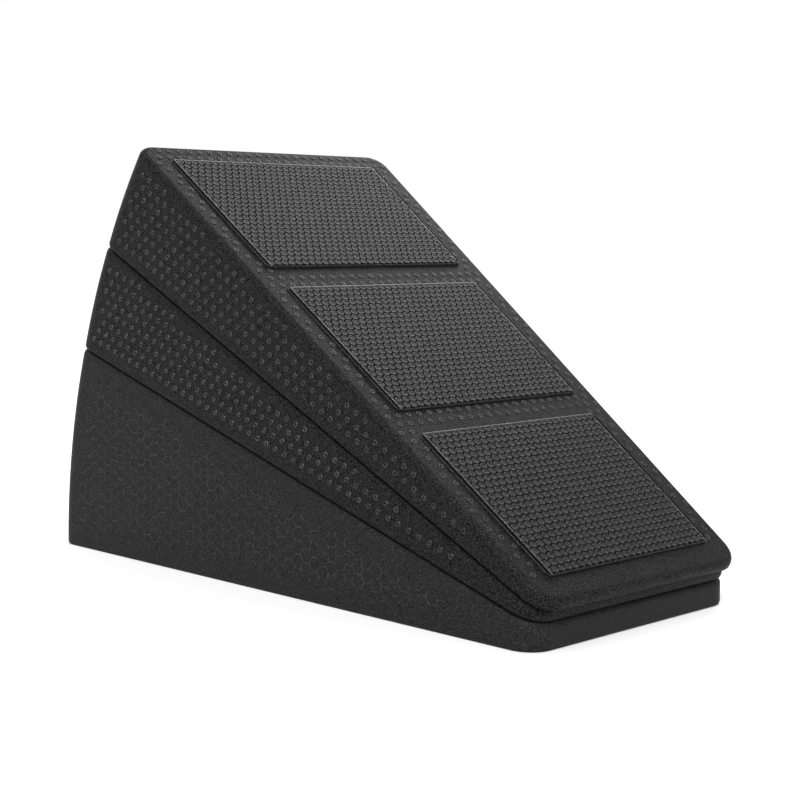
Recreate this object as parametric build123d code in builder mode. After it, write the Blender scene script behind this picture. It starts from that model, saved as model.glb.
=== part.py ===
"""Three-piece stackable ramp leveler: a nested stack of moulded foam wedges with bonded grip treads.

Every sloping face of the stack passes through one virtual tip line ahead of the thin end, and every
thick-end face lies on one cylinder about that line, so the three wedges close up into a single ramp.
Frame: millimetres, origin under the middle of the stack at floor level, thin end +X, thick end -X, +Z up.
"""
import os
from math import cos, degrees, radians, sin, tan

from build123d import *

# --- driving dimensions ---------------------------------------------------------------------------
BACK_RADIUS = 430.0  # thick-end cylinder about the virtual tip line
TIP_X = 233.65  # virtual tip line ahead of the origin
BACK_WIDTH = 206.8  # width of the stack at the thick end, at floor level
PLAN_TAPER = 0.0565  # how much each side closes in per millimetre towards the thin end
SIDE_LEAN = 0.0153  # how much each side leans in per millimetre of height
SEAM_GAP = 0.3  # air gap between one wedge and the next

WEDGES = ("lower", "middle", "upper")
WEDGE_ANGLE = {"lower": 17.4, "middle": 9.3, "upper": 9.1}
BASE_TILT = {"lower": 0.0, "middle": 17.4, "upper": 26.7}
TOE_RADIUS = {"lower": 44.0, "middle": 46.4, "upper": 44.0}  # tip line to the blunt thin end

HEEL_OVERRUN = 12.0  # stock left past the thick end for its cylinder to trim
TOE_CORNER = 14.7  # plan rounding of the thin end's two corners
HEEL_CORNER = 12.7  # rounding of the thick end's two upright corners
CROWN_ROUND = 4.1  # edge of each sloping top face
SOLE_ROUND = 2.2  # edge of each underside

TREADS = ("heel", "mid", "toe")  # on each wedge, counted down the slope
TREAD_LENGTH = 106.3  # along the slope
TREAD_PITCH = 123.8
TREAD_HEEL = 414.0  # tip line to the upper edge of the uppermost tread
TREAD_MARGIN = 15.5  # rim left on either side of the treads
TREAD_CORNER = 4.0
TREAD_SEAT = 1.5  # depth the tread is let into the wedge
TREAD_HIGH_STEP = 0.6  # how far its upper edge stands above the rim
TREAD_LOW_STEP = 1.6  # how far its lower edge stands above the rim
TREAD_EDGE_ROUND = 0.6
SEAT_PLAY = 0.15  # bond line around a tread in its seat
NEST_PLAY = 0.6  # sideways room around a tread in the recess of the wedge above
NEST_HEADROOM = 1.2  # room over a tread in that recess
NEST_OVERCUT = 1.0  # how far the recess cutter starts below the seam
TREAD_STOCK = 1.0  # height pared off each tread by its sloping face


def seam_plane(tilt, lift=0.0):
    """Plane through the tip line at a tilt: local X runs up the slope, local Z stands off it."""
    up_slope = (-cos(radians(tilt)), 0, sin(radians(tilt)))
    normal = (sin(radians(tilt)), 0, cos(radians(tilt)))
    return Plane(origin=(TIP_X, 0, 0), x_dir=up_slope, z_dir=normal).offset(lift)


def half_width(run, tilt):
    """Half the stack's width at a distance up a plane of the given tilt."""
    inset = PLAN_TAPER * (BACK_RADIUS - run) + SIDE_LEAN * sin(radians(tilt)) * run
    return BACK_WIDTH / 2 - inset


def side_draft(name):
    """Draft in degrees that keeps one wedge's sides in line with the next one's at their seam."""
    lean = SIDE_LEAN * cos(radians(BASE_TILT[name]))
    closing = PLAN_TAPER * tan(radians(WEDGE_ANGLE[name] / 2))
    return degrees(lean - closing)


def tapered_outline(near, far, tilt, margin):
    """Trapezoid between two distances up the slope, a margin inside the stack's sides."""
    near_half = half_width(near, tilt) - margin
    far_half = half_width(far, tilt) - margin
    Polygon((near, -near_half), (far, -far_half), (far, far_half), (near, near_half), align=None)


def tread_span(index):
    """Distances from the tip line to a tread's lower and upper edges."""
    upper = TREAD_HEEL - index * TREAD_PITCH
    return upper - TREAD_LENGTH, upper


def tread_top(index, tilt, headroom=0.0):
    """Plane of a tread's face: nearly parallel to the slope, highest at the tread's lower edge."""
    lower, upper = tread_span(index)
    fall = (TREAD_LOW_STEP - TREAD_HIGH_STEP) / TREAD_LENGTH
    slope = seam_plane(tilt)
    start = slope.from_local_coords(Vector(lower, 0, TREAD_LOW_STEP + headroom))
    normal = slope.from_local_coords(Vector(fall, 0, 1)) - slope.origin
    return Plane(origin=start, z_dir=normal)


def top_axis(name):
    """Direction standing off a wedge's sloping top."""
    return Axis((0, 0, 0), seam_plane(BASE_TILT[name] + WEDGE_ANGLE[name]).z_dir)


def base_axis(name):
    """Direction standing off a wedge's own base."""
    return Axis((0, 0, 0), seam_plane(BASE_TILT[name]).z_dir)


def cut_wedge(name):
    """Drafted prism on the wedge's own base, trimmed by its sloping top and the thick-end cylinder."""
    tilt = BASE_TILT[name]
    lift = SEAM_GAP if tilt else 0.0
    with BuildSketch(seam_plane(tilt, lift)) as base:
        tapered_outline(TOE_RADIUS[name], BACK_RADIUS + HEEL_OVERRUN, tilt, 0.0)
    extrude(base.sketch, amount=BACK_RADIUS * tan(radians(WEDGE_ANGLE[name])), taper=side_draft(name))
    split(bisect_by=seam_plane(tilt + WEDGE_ANGLE[name]), keep=Keep.BOTTOM)
    with Locations((TIP_X, 0, 0)):
        Cylinder(BACK_RADIUS, 2 * BACK_WIDTH, rotation=(90, 0, 0), mode=Mode.INTERSECT)


def round_wedge(wedge, name):
    """Round the upright corners first, then the edges of the top and of the underside."""
    toe = wedge.faces().sort_by(Axis.X)[-1]
    fillet(toe.edges().sort_by(SortBy.LENGTH)[0:2], TOE_CORNER)
    heel = wedge.faces().filter_by(GeomType.CYLINDER).sort_by(Axis.X)[0]
    fillet(heel.edges().filter_by(GeomType.LINE, reverse=True), HEEL_CORNER)
    fillet(wedge.faces().sort_by(top_axis(name))[-1].edges(), CROWN_ROUND)
    fillet(wedge.faces().sort_by(base_axis(name))[0].edges(), SOLE_ROUND)


def tread_shape(index, tilt, play, depth, headroom, mode):
    """Rounded trapezoid standing on a plane below the slope, pared to the tread's own face."""
    lower, upper = tread_span(index)
    with BuildSketch(seam_plane(tilt, -depth)) as outline:
        tapered_outline(lower - play, upper + play, tilt, TREAD_MARGIN - play)
        fillet(outline.vertices(), TREAD_CORNER + play)
    height = depth + TREAD_LOW_STEP + headroom + TREAD_STOCK
    stock = extrude(outline.sketch, amount=height, mode=Mode.PRIVATE)
    split(stock, bisect_by=tread_top(index, tilt, headroom), keep=Keep.BOTTOM, mode=mode)


def cut_tread_seats(name):
    """Shallow seats in the sloping top that the treads are bonded into."""
    tilt = BASE_TILT[name] + WEDGE_ANGLE[name]
    for index in range(len(TREADS)):
        tread_shape(index, tilt, SEAT_PLAY, TREAD_SEAT, 0.0, Mode.SUBTRACT)


def cut_nest_recesses(name):
    """Recesses in the underside that drop over the treads of the wedge below."""
    for index in range(len(TREADS)):
        tread_shape(index, BASE_TILT[name], NEST_PLAY, NEST_OVERCUT, NEST_HEADROOM, Mode.SUBTRACT)


def export(piece, name):
    """Label a finished piece and write it out."""
    piece.part.label = name
    export_step(piece.part, f"parts/{name}.step")


os.makedirs("parts", exist_ok=True)

# --- wedges: each carries seats for its treads and, above the lowest, recesses over the ones below ---
for wedge_name in WEDGES:
    with BuildPart() as wedge:
        cut_wedge(wedge_name)
        round_wedge(wedge, wedge_name)
        cut_tread_seats(wedge_name)
        if BASE_TILT[wedge_name]:
            cut_nest_recesses(wedge_name)
    export(wedge, f"{wedge_name}_wedge")

# --- grip treads: three shingled strips let into the slope of every wedge ----------------------------
for wedge_name in WEDGES:
    slope_tilt = BASE_TILT[wedge_name] + WEDGE_ANGLE[wedge_name]
    for position, tread_name in enumerate(TREADS):
        with BuildPart() as tread:
            tread_shape(position, slope_tilt, 0.0, TREAD_SEAT, 0.0, Mode.ADD)
            face = tread.faces().sort_by(top_axis(wedge_name))[-1]
            fillet(face.edges(), TREAD_EDGE_ROUND)
        export(tread, f"{wedge_name}_{tread_name}_tread")
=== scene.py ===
"""Looks of the three-wedge ramp leveler: moulded black foam wedges with honeycomb grip treads."""
from math import cos, pi, radians, sin

import bpy
import numpy as np
from mathutils import Matrix, Quaternion, Vector


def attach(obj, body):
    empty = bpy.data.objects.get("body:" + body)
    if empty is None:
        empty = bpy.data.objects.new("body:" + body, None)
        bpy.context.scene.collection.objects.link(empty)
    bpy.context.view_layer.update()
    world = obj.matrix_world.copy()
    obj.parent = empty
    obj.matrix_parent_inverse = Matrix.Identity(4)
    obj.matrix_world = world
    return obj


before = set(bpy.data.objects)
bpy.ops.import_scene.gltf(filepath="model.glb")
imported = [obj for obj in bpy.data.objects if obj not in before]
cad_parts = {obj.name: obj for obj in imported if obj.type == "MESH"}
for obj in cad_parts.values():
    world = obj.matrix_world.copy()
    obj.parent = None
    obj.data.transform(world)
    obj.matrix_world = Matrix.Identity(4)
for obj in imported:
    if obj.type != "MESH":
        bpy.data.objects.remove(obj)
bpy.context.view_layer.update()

MM = 0.001
HEX = cos(radians(30))  # a hexagon's width over its corners' circle, and a staggered row's step over a pitch

# --- the stack -----------------------------------------------------------------------------------------
WEDGES = ("lower", "middle", "upper")
TREADS = ("heel", "mid", "toe")
SIDES = {"near": -1, "far": 1}
TIP_X = 233.65 * MM  # the virtual line ahead of the thin end that every slope passes through
SLOPE_TILT = {"lower": radians(17.4), "middle": radians(26.7), "upper": radians(35.8)}
BASE_TILT = {"lower": 0.0, "middle": SLOPE_TILT["lower"], "upper": SLOPE_TILT["middle"]}
PLAN_TAPER = 0.0565  # how much each side closes in per length towards the thin end
BACK_RADIUS = 430 * MM  # of the thick ends, about the tip line

# --- how a flat face of a CAD node is told from the rounds and floors beside it ----------------------------
SAME_WAY = 0.999  # least cosine between a facet's normal and the way its face looks
FLUSH = 0.9999  # least cosine between the normals of two facets of one face
FLUSH_STEP = 0.1 * MM  # most that one such facet stands off another
SLIVER = 0.02  # a facet with less than this share of the largest one's area belongs to a round
UPWARD = 0.9  # least rise of an upward normal
CORNER_LEAN = 0.2  # what a corner's place across a face counts for, beside its place along it

# --- honeycomb pads of the grip treads ---------------------------------------------------------------------
PAD_PITCH = 5.04 * MM
PAD_ACROSS = 4.4 * MM  # flat to flat
PAD_HEIGHT = 0.6 * MM
PAD_ROOT = 0.3 * MM  # sunk into the tread
PAD_BEVEL = 0.35 * MM
PAD_RIM = 0.55 * MM
PAD_DISH = 0.28 * MM
PAD_OVERHANG = 0.1 * PAD_ACROSS  # a pad whose middle is further out than this is left off

# --- bead round three edges of a tread ---------------------------------------------------------------------
BEAD_WIDTH = 0.6 * MM
BEAD_HEIGHT = 0.35 * MM
BEAD_ROOT = 0.5 * MM
BEAD_OUT = 0.3 * MM  # outward of the flat of the tread, over its rounded edge
BEAD_CREST = 0.85  # width of the top over that of the foot
BEAD_OVERRUN = 0.6 * BEAD_WIDTH  # past the ends of an edge, so that two beads meet in a full corner
BEAD_CORNERS = ((-1, -1), (1, -1), (1, 1), (-1, 1))  # lower near, upper near, upper far, lower far

# --- ring studs moulded into the skin of the wedges --------------------------------------------------------
STUD_PITCH = 7.55 * MM
STUD_ROW = STUD_PITCH * HEX
STUD_ACROSS = 3.6 * MM
STUD_CROWN = 3.0 * MM
STUD_HOLLOW = 1.8 * MM
STUD_SLANT = STUD_HOLLOW / 8  # how far the wall of the hollow leans in
STUD_SINK = 0.9  # depth of the hollow as a share of the height
STUD_HEIGHT = 0.4 * MM
STUD_PRESSED = 0.2 * MM  # height where another wedge rests on them, under the 0.3 mm seam
STUD_ROOT = 0.3 * MM
STUD_SIDES = 10
STUD_SIDE_MARGIN = 0.6 * STUD_ACROSS  # from a stud's middle to the edge of a side
STUD_RIM_MARGIN = 0.5 * STUD_ACROSS  # to the edge of a slope
STUD_TREAD_MARGIN = 0.75 * STUD_ACROSS  # to a tread
HEEL_MARGIN = 7 * MM  # plain skin left above and below the studs of a thick end
HEEL_SPAN = 172 * MM  # width of the studs on a thick end

# --- faint honeycomb ridges of the lower wedge's skin ------------------------------------------------------
CELL_PITCH = 7.6 * MM
CELL_WALL = 0.8 * MM
CELL_HEIGHT = 0.2 * MM
CELL_ROOT = 0.3 * MM
CELL_DROP = 2 * CELL_HEIGHT  # from the top of a ridge to the hidden floor of its cell
CELL_MARGIN = 1.2 * CELL_PITCH  # from a cell's middle to the edge of a side

# --- marks on a moulded skin -------------------------------------------------------------------------------
CLOUD_SIZE = 55 * MM  # patches a hand's breadth apart, where it is gripped
RUB_SIZE = 16 * MM
RUB_FLATNESS = 3.5  # length of a rub over its height
CLOUD_DARK, CLOUD_PALE, RUB_PALE = 0.3, 0.5, 1.2  # brightness as a share of the material's colour
BUBBLE_SIZE = 0.6  # as a share of the grain
PAINTED_GLINT_SIZE = 0.75  # as a share of the grain
PAINTED_GLINT_BLACK, PAINTED_GLINT_WHITE = 0.4, 0.16  # the painted glints' share of the material's colour, and of its shine as white
SKIN_SPECULAR = 0.55  # specular level at full shine
SKIN_IOR = 1.46

# --- camera and studio -------------------------------------------------------------------------------------
AZIMUTH, ELEVATION, ROLL = radians(46.17), radians(6.32), radians(0.516)
CAMERA_PLACE = (0.68268, -0.64458, 0.20583)
CAMERA_LENS = 71.62
FLOOR_SIZE = 60
KEY_TURN = (radians(38), 0, radians(46))
KEY_STRENGTH, KEY_SPREAD = 2.6, radians(25)
WALL_SEEN, WALL_GLOW = 1.0, 0.75  # brightness of the walls to look at, and as a source


def linear(colour):
    """Linear RGBA of an sRGB hex colour."""
    parts = [int(colour[i : i + 2], 16) / 255 for i in (1, 3, 5)]
    return [p / 12.92 if p <= 0.04045 else ((p + 0.055) / 1.055) ** 2.4 for p in parts] + [1.0]


def add(tree, kind, links=None, inputs=None, **settings):
    """Add a node with its settings, its input values and its links as {input: (node, output)}."""
    node = tree.nodes.new(kind)
    for key, value in settings.items():
        setattr(node, key, value)
    for key, value in (inputs or {}).items():
        node.inputs[key].default_value = value
    for key, (source, output) in (links or {}).items():
        tree.links.new(source.outputs[output], node.inputs[key])
    return node


# --- camera ------------------------------------------------------------------------------------------------
back = Vector((sin(AZIMUTH) * cos(ELEVATION), -cos(AZIMUTH) * cos(ELEVATION), sin(ELEVATION)))
aim = (-back).to_track_quat("-Z", "Y") @ Quaternion((0, 0, 1), ROLL)
bpy.ops.object.camera_add(location=CAMERA_PLACE, rotation=aim.to_euler())
camera = bpy.context.object
camera.name = "camera"
camera.data.lens = CAMERA_LENS
camera.data.clip_start, camera.data.clip_end = 0.01, 50
bpy.context.scene.camera = camera


# --- materials ---------------------------------------------------------------------------------------------
def moulded_black(name, colour, rough, grain, relief, shine):
    """Black foam or rubber pressed in a heated mould: dull, with a fine leathery grain and pinhead glints
    painted into its colour.
    """
    material = bpy.data.materials.new(name)
    material.use_nodes = True
    tree = material.node_tree
    tree.nodes.clear()
    low_colour, high_colour, mixed = 6, 7, 2  # the colour sockets of a Mix node

    def black(share, white=0.0):
        """The material's colour, darkened or lightened."""
        return [share * c + white for c in linear(colour)[:3]] + [1.0]

    at = {"Vector": (add(tree, "ShaderNodeTexCoord"), "Object")}
    # leathery grain left by the etched mould, and the bubbles just under the skin
    leather = add(tree, "ShaderNodeTexNoise", at, {"Scale": 1 / grain, "Detail": 2.0, "Roughness": 0.6})
    bubbles = add(tree, "ShaderNodeTexVoronoi", at, {"Scale": 1 / (BUBBLE_SIZE * grain)})
    # handling: faint cloudy patches, and short pale rubs that lie level
    cloud = add(tree, "ShaderNodeTexNoise", at, {"Scale": 1 / CLOUD_SIZE, "Detail": 3.0})
    stretch = add(tree, "ShaderNodeMapping", at, {"Scale": (1, 1, RUB_FLATNESS)})
    rub = add(
        tree, "ShaderNodeTexNoise", {"Vector": (stretch, "Vector")}, {"Scale": 1 / RUB_SIZE, "Detail": 6.0}
    )
    rubbed = add(
        tree, "ShaderNodeMapRange", {"Value": (rub, "Fac")},
        {"From Min": 0.58, "From Max": 0.8, "To Min": 0.0, "To Max": 0.35},
    )
    tone = add(
        tree, "ShaderNodeMix", {"Factor": (cloud, "Fac")},
        {low_colour: black(CLOUD_DARK), high_colour: black(CLOUD_PALE)}, data_type="RGBA",
    )
    worn = add(
        tree, "ShaderNodeMix", {"Factor": (rubbed, "Result"), low_colour: (tone, mixed)},
        {high_colour: black(RUB_PALE)}, data_type="RGBA",
    )
    gloss = add(
        tree, "ShaderNodeMapRange", {"Value": (leather, "Fac")},
        {"From Min": 0.3, "From Max": 0.7, "To Min": rough - 0.14, "To Max": rough + 0.12},
    )
    # painted glints: pale pinhead specks in the colour, paler the more the shine, standing for glints of
    # light on the grained skin
    painted_glint_noise = add(tree, "ShaderNodeTexNoise", at, {"Scale": 1 / (PAINTED_GLINT_SIZE * grain), "Detail": 1.0})
    painted_glint_mask = add(
        tree, "ShaderNodeMapRange", {"Value": (painted_glint_noise, "Fac")},
        {"From Min": 0.42, "From Max": 0.64, "To Min": 0.0, "To Max": 1.0},
    )
    painted_glints = add(
        tree, "ShaderNodeMix", {"Factor": (painted_glint_mask, "Result"), low_colour: (worn, mixed)},
        {high_colour: black(PAINTED_GLINT_BLACK, PAINTED_GLINT_WHITE * shine)}, data_type="RGBA",
    )
    pitted = add(
        tree, "ShaderNodeBump", {"Height": (bubbles, "Distance")}, {"Strength": 0.5, "Distance": 0.5 * relief}
    )
    grained = add(
        tree, "ShaderNodeBump", {"Height": (leather, "Fac"), "Normal": (pitted, "Normal")},
        {"Strength": 1.0, "Distance": relief},
    )
    shader = add(
        tree, "ShaderNodeBsdfPrincipled",
        {"Base Color": (painted_glints, mixed), "Roughness": (gloss, "Result"), "Normal": (grained, "Normal")},
        {"IOR": SKIN_IOR, "Specular IOR Level": SKIN_SPECULAR * shine},
    )
    add(tree, "ShaderNodeOutputMaterial", {"Surface": (shader, "BSDF")})
    return material


# A mould's real grain is about a third of a millimetre, too fine to show, so each is drawn two or three times
# as coarse.
# Cross-linked EVA foam pressed in a heated mould: a dull closed skin. The lower wedge's is the finest, and
# its paler colour is painted light, for its sides showing brighter; those of the two upper wedges are coarser
# and nearly black.
foam = {
    "lower": moulded_black(
        "eva_foam_moulded_fine", "#151516", rough=0.6, grain=0.65 * MM, relief=0.12 * MM, shine=0.193
    ),
    "middle": moulded_black(
        "eva_foam_moulded_dotted", "#0c0c0d", rough=0.5, grain=1.0 * MM, relief=0.3 * MM, shine=0.146
    ),
    "upper": moulded_black(
        "eva_foam_moulded_dotted_top", "#0c0c0d", rough=0.48, grain=1.0 * MM, relief=0.3 * MM, shine=0.146
    ),
}
# The same foam on the raised rings, which take the rubbing: small grey rings, shinier than the skin between;
# much of their grey is painted glints, strong with this shine.
ring = moulded_black(
    "eva_foam_rubbed_smooth", "#141415", rough=0.34, grain=0.9 * MM, relief=0.12 * MM, shine=0.36
)
# The same foam on the lower wedge's ridges, worn by handling: a faint net, a little brighter than the side,
# mostly by the higher shine and its stronger painted glints.
ridge = moulded_black(
    "eva_foam_ridges_worn", "#161617", rough=0.5, grain=0.9 * MM, relief=0.12 * MM, shine=0.3
)
# Nitrile rubber sheet moulded with honeycomb pads: denser and smoother than foam, so they catch the light.
rubber = moulded_black(
    "nitrile_rubber_moulded", "#0e0e0f", rough=0.34, grain=0.8 * MM, relief=0.14 * MM, shine=0.265
)
# The same rubber on the edge of a tread, painted pale: a painted highlight, the thin bright line of light
# that the edge catches round it.
painted_edge_highlight = moulded_black(
    "nitrile_rubber_edge_painted_highlight", "#4a4a4b", rough=0.3, grain=0.9 * MM, relief=0.1 * MM, shine=0.9
)
# The same rubber between the pads, rough from the mould: painted shade, dead black for the shade that fills
# the grooves between the pads.
painted_groove_shade = moulded_black(
    "nitrile_rubber_matt_painted_groove_shade", "#060606", rough=0.7, grain=0.9 * MM, relief=0.1 * MM, shine=0.04
)


def down_slope(tilt):
    """Direction along a plane through the tip line, from the thick end to the thin end."""
    return Vector((cos(tilt), 0, -sin(tilt)))


def off_slope(tilt):
    """Direction standing off a plane through the tip line."""
    return Vector((sin(tilt), 0, cos(tilt)))


def finish_with(piece, material):
    """Give a whole piece one material."""
    piece.data.materials.clear()
    piece.data.materials.append(material)


for wedge in WEDGES:
    finish_with(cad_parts[f"{wedge}_wedge"], foam[wedge])
    for tread in TREADS:
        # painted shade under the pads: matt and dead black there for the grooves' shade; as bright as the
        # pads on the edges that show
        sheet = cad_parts[f"{wedge}_{tread}_tread"]
        finish_with(sheet, rubber)
        sheet.data.materials.append(painted_groove_shade)
        for facet in sheet.data.polygons:
            facet.material_index = int(facet.normal.dot(off_slope(SLOPE_TILT[wedge])) > SAME_WAY)


# --- the CAD faces that the relief stands on ---------------------------------------------------------------
class Face:
    """A flat face of a CAD node: its place, its directions and its outline in its own plane."""

    def __init__(self, node, toward, along):
        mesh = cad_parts[node].data
        normals = np.array([p.normal for p in mesh.polygons])
        centres = np.array([p.center for p in mesh.polygons])
        areas = np.array([p.area for p in mesh.polygons])
        toward = np.array(toward) / np.linalg.norm(toward)
        facing = areas * (normals @ toward > SAME_WAY)
        outermost = np.argmax(np.where(facing > SLIVER * facing.max(), centres @ toward, -np.inf))
        normal = normals[outermost]
        step = abs((centres - centres[outermost]) @ normal)
        flush = np.flatnonzero((normals @ normal > FLUSH) & (step < FLUSH_STEP))
        self.points = np.array([mesh.vertices[v].co for p in flush for v in mesh.polygons[p].vertices])
        self.origin = Vector(self.points.mean(axis=0))
        self.normal = Vector(normal)
        along = Vector(along)
        self.along = (along - along.dot(self.normal) * self.normal).normalized()
        self.across = self.normal.cross(self.along)
        local = self.flatten(self.points)
        self.outline = hull(local)
        self.low, self.high = local.min(axis=0), local.max(axis=0)

    def flatten(self, points):
        """Points of the frame in this face's plane."""
        return (points - np.array(self.origin)) @ np.array([self.along, self.across]).T

    def corner(self, end, hand):
        """The corner at the low or high end (-1 or 1) of one side (-1 or 1)."""
        return max(self.outline, key=lambda c: end * c[0] + CORNER_LEAN * hand * c[1])

    def matrix(self):
        """From the face's own plane to the frame."""
        turn = Matrix((self.along, self.across, self.normal)).transposed()
        return Matrix.LocRotScale(self.origin, turn, None)


def hull(points):
    """Convex outline of points in a plane, counter-clockwise."""
    order = sorted(map(tuple, np.unique(points.round(6), axis=0)))
    straight = 1e-12  # square metres, up to which three points make no corner

    def turn(first, second, third):
        return np.cross(np.subtract(second, first), np.subtract(third, second))

    def chain(run):
        kept = []
        for p in run:
            while len(kept) > 1 and turn(*kept[-2:], p) <= straight:
                kept.pop()
            kept.append(p)
        return kept[:-1]

    return np.array(chain(order) + chain(order[::-1]))


def inside(outline, points):
    """How far each point is inside a convex outline."""
    edge = np.roll(outline, -1, axis=0) - outline
    edge /= np.linalg.norm(edge, axis=1)[:, None]
    inward = np.stack([-edge[:, 1], edge[:, 0]], axis=1)
    gap = np.einsum("pek,ek->pe", points[:, None, :] - outline[None, :, :], inward)
    return gap.min(axis=1)


# --- modelling ---------------------------------------------------------------------------------------------
def edit(mode="FACE"):
    """Open the active piece for editing with nothing selected."""
    bpy.ops.object.mode_set(mode="EDIT")
    bpy.ops.mesh.select_mode(type=mode)
    bpy.ops.mesh.select_all(action="DESELECT")


def pick_top(piece):
    """Select the upward face of a piece that is open for editing."""
    bpy.ops.object.mode_set(mode="OBJECT")
    for face in piece.data.polygons:
        face.select = face.normal.z > UPWARD
    bpy.ops.object.mode_set(mode="EDIT")


def block(sides, across, height, root, turn=0.0):
    """A flat many-sided block whose top stands above the plane and whose foot is sunk below it."""
    bpy.ops.object.select_all(action="DESELECT")
    bpy.ops.mesh.primitive_cylinder_add(
        vertices=sides, radius=across / 2, depth=height + root, end_fill_type="NGON",
        location=(0, 0, (height - root) / 2), rotation=(0, 0, turn),
    )
    bpy.ops.object.transform_apply()
    return bpy.context.object


def hex_pad():
    """One grip pad: six sides, eased upper edges, a raised rim and a dished middle."""
    pad = block(sides=6, across=PAD_ACROSS / HEX, height=PAD_HEIGHT - PAD_BEVEL, root=PAD_ROOT, turn=pi / 2)
    edit()
    pick_top(pad)
    bpy.ops.mesh.extrude_region_move(TRANSFORM_OT_translate={"value": (0, 0, PAD_BEVEL)})
    ease = 1 - 2 * PAD_BEVEL / PAD_ACROSS
    bpy.ops.transform.resize(value=(ease, ease, 1))
    bpy.ops.mesh.inset(thickness=PAD_RIM, depth=0)
    bpy.ops.mesh.inset(thickness=PAD_RIM, depth=-PAD_DISH)
    bpy.ops.object.mode_set(mode="OBJECT")
    return pad


def ring_stud(skin, height=STUD_HEIGHT):
    """One ring stud: a low round boss with sloping sides and a hollow middle as dull as the skin."""
    stud = block(sides=STUD_SIDES, across=STUD_ACROSS, height=0, root=STUD_ROOT)
    edit()
    pick_top(stud)
    bpy.ops.mesh.extrude_region_move(TRANSFORM_OT_translate={"value": (0, 0, height)})
    ease = STUD_CROWN / STUD_ACROSS
    bpy.ops.transform.resize(value=(ease, ease, 1))
    bpy.ops.mesh.inset(thickness=(STUD_CROWN - STUD_HOLLOW) / 2, depth=0)
    bpy.ops.mesh.inset(thickness=STUD_SLANT, depth=-STUD_SINK * height)
    stud.data.materials.append(ring)
    stud.data.materials.append(skin)
    stud.active_material_index = 1
    bpy.ops.object.material_slot_assign()
    bpy.ops.object.mode_set(mode="OBJECT")
    return stud


def ridge_cell():
    """One honeycomb cell: a six-sided ring of low wall whose floor drops under the skin."""
    cell = block(sides=6, across=CELL_PITCH / HEX, height=CELL_HEIGHT, root=CELL_ROOT, turn=pi / 2)
    edit()
    pick_top(cell)
    bpy.ops.mesh.inset(thickness=CELL_WALL, depth=-CELL_DROP)
    bpy.ops.object.mode_set(mode="OBJECT")
    return cell


def repeat(piece, count, step):
    """Repeat a piece in a straight run."""
    modifier = piece.modifiers.new("run", "ARRAY")
    modifier.use_relative_offset, modifier.use_constant_offset = False, True
    modifier.count, modifier.constant_offset_displace = count, step
    bpy.ops.object.modifier_apply(modifier=modifier.name)


def stagger(cell, face, pitch):
    """Cover a face's rectangle with a cell, every second row shifted by half a pitch."""
    row = pitch * HEX
    across = int((face.high[1] - face.low[1]) / pitch) + 3
    pairs = int((face.high[0] - face.low[0]) / row / 2) + 2
    repeat(cell, across, (0, pitch, 0))
    bpy.ops.object.duplicate()
    shifted = bpy.context.object
    shifted.location = (row, pitch / 2, 0)
    bpy.ops.object.transform_apply()
    cell.select_set(True)
    bpy.context.view_layer.objects.active = cell
    bpy.ops.object.join()
    repeat(cell, pairs, (2 * row, 0, 0))
    span = Vector(((pairs * 2 - 1) * row, (across - 0.5) * pitch, 0))
    middle = Vector(((face.low[0] + face.high[0]) / 2, (face.low[1] + face.high[1]) / 2, 0))
    cell.location = middle - span / 2
    bpy.ops.object.transform_apply()


def lay(cell, face, pitch, unwanted):
    """Cover a face with a cell in staggered rows, without those whose middles a test picks out."""
    size = len(cell.data.vertices)
    stagger(cell, face, pitch)
    mesh = cell.data
    places = np.empty(len(mesh.vertices) * 3)
    mesh.vertices.foreach_get("co", places)
    middles = places.reshape(-1, size, 3).mean(axis=1)[:, :2]
    drop = np.repeat(unwanted(middles), size)
    edit("VERT")
    bpy.ops.object.mode_set(mode="OBJECT")
    mesh.vertices.foreach_set("select", drop)
    bpy.ops.object.mode_set(mode="EDIT")
    bpy.ops.mesh.delete(type="VERT")
    bpy.ops.object.mode_set(mode="OBJECT")
    return cell


def trim(piece, point, outward):
    """Cut a field of cells off along a line and close the cut ones."""
    edit()
    bpy.ops.mesh.select_all(action="SELECT")
    bpy.ops.mesh.bisect(plane_co=point, plane_no=outward, use_fill=True, clear_outer=True)
    bpy.ops.object.mode_set(mode="OBJECT")


def bead_run(corners):
    """A thin moulded bead running straight from corner to corner."""
    runs = []
    for start, end in zip(corners, corners[1:]):
        way = (end - start).normalized()
        stick = block(
            sides=4, across=BEAD_WIDTH / cos(pi / 4), height=BEAD_HEIGHT, root=BEAD_ROOT, turn=pi / 4
        )
        edit()
        pick_top(stick)
        bpy.ops.transform.resize(value=(BEAD_CREST, 1, 1))
        bpy.ops.object.mode_set(mode="OBJECT")
        length = (end - start).length + BEAD_OVERRUN
        stick.scale = (1, length / BEAD_WIDTH, 1)
        stick.rotation_euler = (0, 0, -Vector((0, 1)).angle_signed(way.xy))
        stick.location = (start + end) / 2
        bpy.ops.object.transform_apply()
        runs.append(stick)
    for stick in runs:
        stick.select_set(True)
    bpy.ops.object.join()
    return bpy.context.object


def settle(piece, place, name, wedge, material=None):
    """Lay a finished field in its place, name it and hand it to its body."""
    piece.matrix_world = place
    bpy.ops.object.transform_apply()
    piece.name = piece.data.name = name
    if material:
        finish_with(piece, material)
    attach(piece, wedge)


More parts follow.
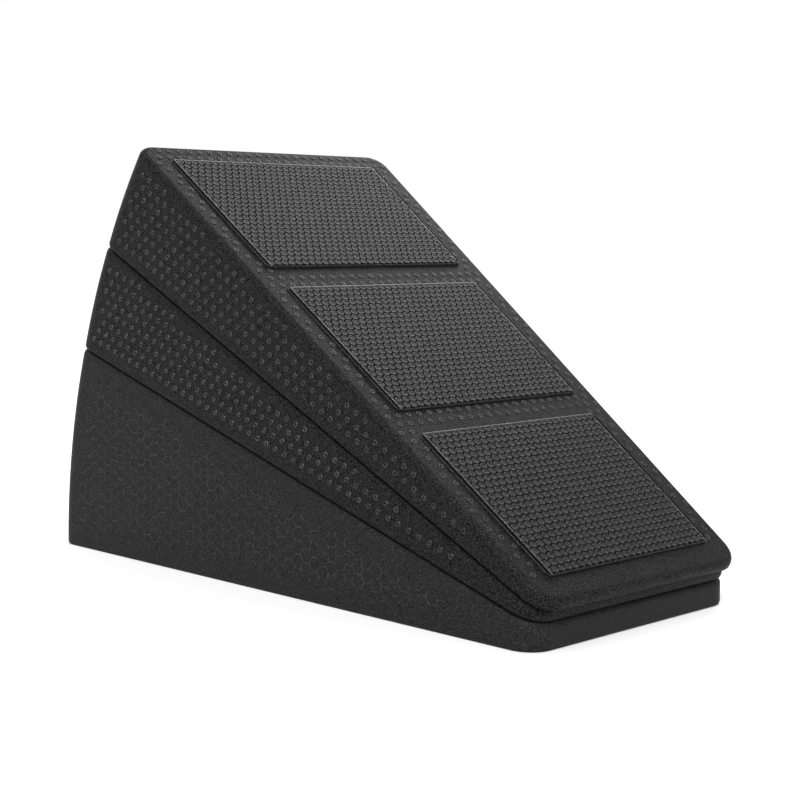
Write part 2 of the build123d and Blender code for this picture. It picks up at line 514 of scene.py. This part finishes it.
# --- grip treads: honeycomb pads cut off at all four edges, and a bead round three --------------------------
def tread_pads(face):
    """The honeycomb pads of one tread."""
    pads = lay(hex_pad(), face, PAD_PITCH, lambda middles: inside(face.outline, middles) < -PAD_OVERHANG)
    for hand in SIDES.values():
        low, high = face.corner(-1, hand), face.corner(1, hand)
        run = Vector((*(high - low), 0)).normalized()
        trim(pads, (*low, 0), Vector((-run.y, run.x, 0)) * hand)
    trim(pads, (face.high[0], 0, 0), (1, 0, 0))
    trim(pads, (face.low[0], 0, 0), (-1, 0, 0))
    return pads


def tread_bead(face):
    """The bead up one end of a tread, along its upper edge and down the other end."""
    route = []
    for end, hand in BEAD_CORNERS:
        corner = face.corner(end, hand)
        route.append(Vector((corner[0], corner[1] + hand * BEAD_OUT, 0)))
    return bead_run(route)


for wedge in WEDGES:
    for tread in TREADS:
        node = f"{wedge}_{tread}_tread"
        face = Face(node, off_slope(SLOPE_TILT[wedge]), -down_slope(SLOPE_TILT[wedge]))
        settle(tread_pads(face), face.matrix(), f"{node}_pads", wedge, rubber)
        # the bead wears the painted edge highlight, pale for the light caught along the edge
        settle(tread_bead(face), face.matrix(), f"{node}_bead", wedge, painted_edge_highlight)

# --- ring studs on the sides of the two upper wedges -------------------------------------------------------
for wedge in WEDGES[1:]:
    node = f"{wedge}_wedge"
    for side, hand in SIDES.items():
        face = Face(node, (PLAN_TAPER, hand, 0), off_slope(BASE_TILT[wedge]))
        studs = lay(
            ring_stud(foam[wedge]), face, STUD_PITCH,
            lambda middles: inside(face.outline, middles) < STUD_SIDE_MARGIN,
        )
        settle(studs, face.matrix(), f"{node}_{side}_studs", wedge)

# --- ring studs on the slopes of all three wedges, round the treads and not below the lowest ---------------
for wedge in WEDGES:
    node = f"{wedge}_wedge"
    tilt = SLOPE_TILT[wedge]
    face = Face(node, off_slope(tilt), -down_slope(tilt))
    sheets = [
        hull(face.flatten(Face(f"{wedge}_{tread}_tread", off_slope(tilt), (-1, 0, 0)).points))
        for tread in TREADS
    ]
    toe_edge = sheets[-1][:, 0].min()
    studs = lay(
        ring_stud(foam[wedge], STUD_HEIGHT if wedge == "upper" else STUD_PRESSED), face, STUD_PITCH,
        lambda middles: (inside(face.outline, middles) < STUD_RIM_MARGIN)
        | (middles[:, 0] < toe_edge)
        | np.any([inside(sheet, middles) > -STUD_TREAD_MARGIN for sheet in sheets], axis=0),
    )
    settle(studs, face.matrix(), f"{node}_rim_studs", wedge)


# --- ring studs round the thick ends of the two upper wedges -----------------------------------------------
def heel_studs(wedge):
    """Ring studs in level rows round a thick end, about the tip line."""
    low, high = BASE_TILT[wedge], SLOPE_TILT[wedge]
    rows = int((high - low - 2 * HEEL_MARGIN / BACK_RADIUS) * BACK_RADIUS / STUD_ROW) + 1
    start = low + (high - low - (rows - 1) * STUD_ROW / BACK_RADIUS) / 2
    lines = []
    for row in range(rows):
        tilt = start + row * STUD_ROW / BACK_RADIUS
        studs = ring_stud(foam[wedge])
        count = int(HEEL_SPAN / STUD_PITCH) + row % 2
        repeat(studs, count, (0, STUD_PITCH, 0))
        facing = Matrix((off_slope(tilt), (0, 1, 0), -down_slope(tilt))).transposed()
        first = Vector((TIP_X, 0, 0)) - down_slope(tilt) * BACK_RADIUS
        first.y = -(count - 1) * STUD_PITCH / 2
        studs.matrix_world = Matrix.LocRotScale(first, facing, None)
        lines.append(studs)
    bpy.ops.object.select_all(action="DESELECT")
    for studs in lines:
        studs.select_set(True)
    bpy.context.view_layer.objects.active = lines[0]
    bpy.ops.object.transform_apply()
    bpy.ops.object.join()
    return lines[0]


for wedge in WEDGES[1:]:
    node = f"{wedge}_wedge"
    settle(heel_studs(wedge), Matrix(), f"{node}_heel_studs", wedge)

# --- honeycomb ridges on the sides of the lower wedge ------------------------------------------------------
for side, hand in SIDES.items():
    face = Face("lower_wedge", (PLAN_TAPER, hand, 0), (-1, 0, 0))
    cells = lay(
        ridge_cell(), face, CELL_PITCH, lambda middles: inside(face.outline, middles) < CELL_MARGIN
    )
    settle(cells, face.matrix(), f"lower_wedge_{side}_ridges", "lower", ridge)

# --- floor -------------------------------------------------------------------------------------------------
bpy.ops.object.select_all(action="DESELECT")
bpy.ops.mesh.primitive_plane_add(size=FLOOR_SIZE, location=(0, 0, 0))
floor = bpy.context.object
floor.name = "floor"
# Studio paper, uncoated: even and matt, so nothing is mirrored in it.
paper = bpy.data.materials.new("studio_paper_matt")
paper.use_nodes = True
matt = paper.node_tree.nodes["Principled BSDF"].inputs
matt["Base Color"].default_value = linear("#f4f4f4")
matt["Roughness"].default_value = 0.95
finish_with(floor, paper)


# --- light -------------------------------------------------------------------------------------------------
def softbox(name, place, facing, size, power):
    """A square soft light facing a point."""
    bpy.ops.object.light_add(type="AREA", location=place)
    light = bpy.context.object
    light.name = name
    light.rotation_euler = (Vector(facing) - Vector(place)).to_track_quat("-Z", "Y").to_euler()
    light.data.size, light.data.energy = size, power


softbox("light_behind", place=(-0.47, 0.96, 1.14), facing=(-0.12, 0, 0.22), size=0.8, power=6.1)
bpy.ops.object.light_add(type="SUN", location=(0, 0, 3), rotation=KEY_TURN)
key = bpy.context.object
key.name = "light_key"
key.data.energy, key.data.angle = KEY_STRENGTH, KEY_SPREAD

# white walls: as bright as the floor to look at, dimmer as a source, so that the black stays black
world = bpy.data.worlds.new("studio")
world.use_nodes = True
studio = world.node_tree
studio.nodes.clear()
looked_at = add(studio, "ShaderNodeLightPath")
wall = add(studio, "ShaderNodeBackground", inputs={"Color": (1, 1, 1, 1), "Strength": WALL_SEEN})
glow = add(studio, "ShaderNodeBackground", inputs={"Color": (1, 1, 1, 1), "Strength": WALL_GLOW})
both = add(studio, "ShaderNodeMixShader", {0: (looked_at, "Is Camera Ray"), 1: (glow, 0), 2: (wall, 0)})
add(studio, "ShaderNodeOutputWorld", {"Surface": (both, 0)})
bpy.context.scene.world = world
bpy.context.scene.view_settings.view_transform = "Standard"
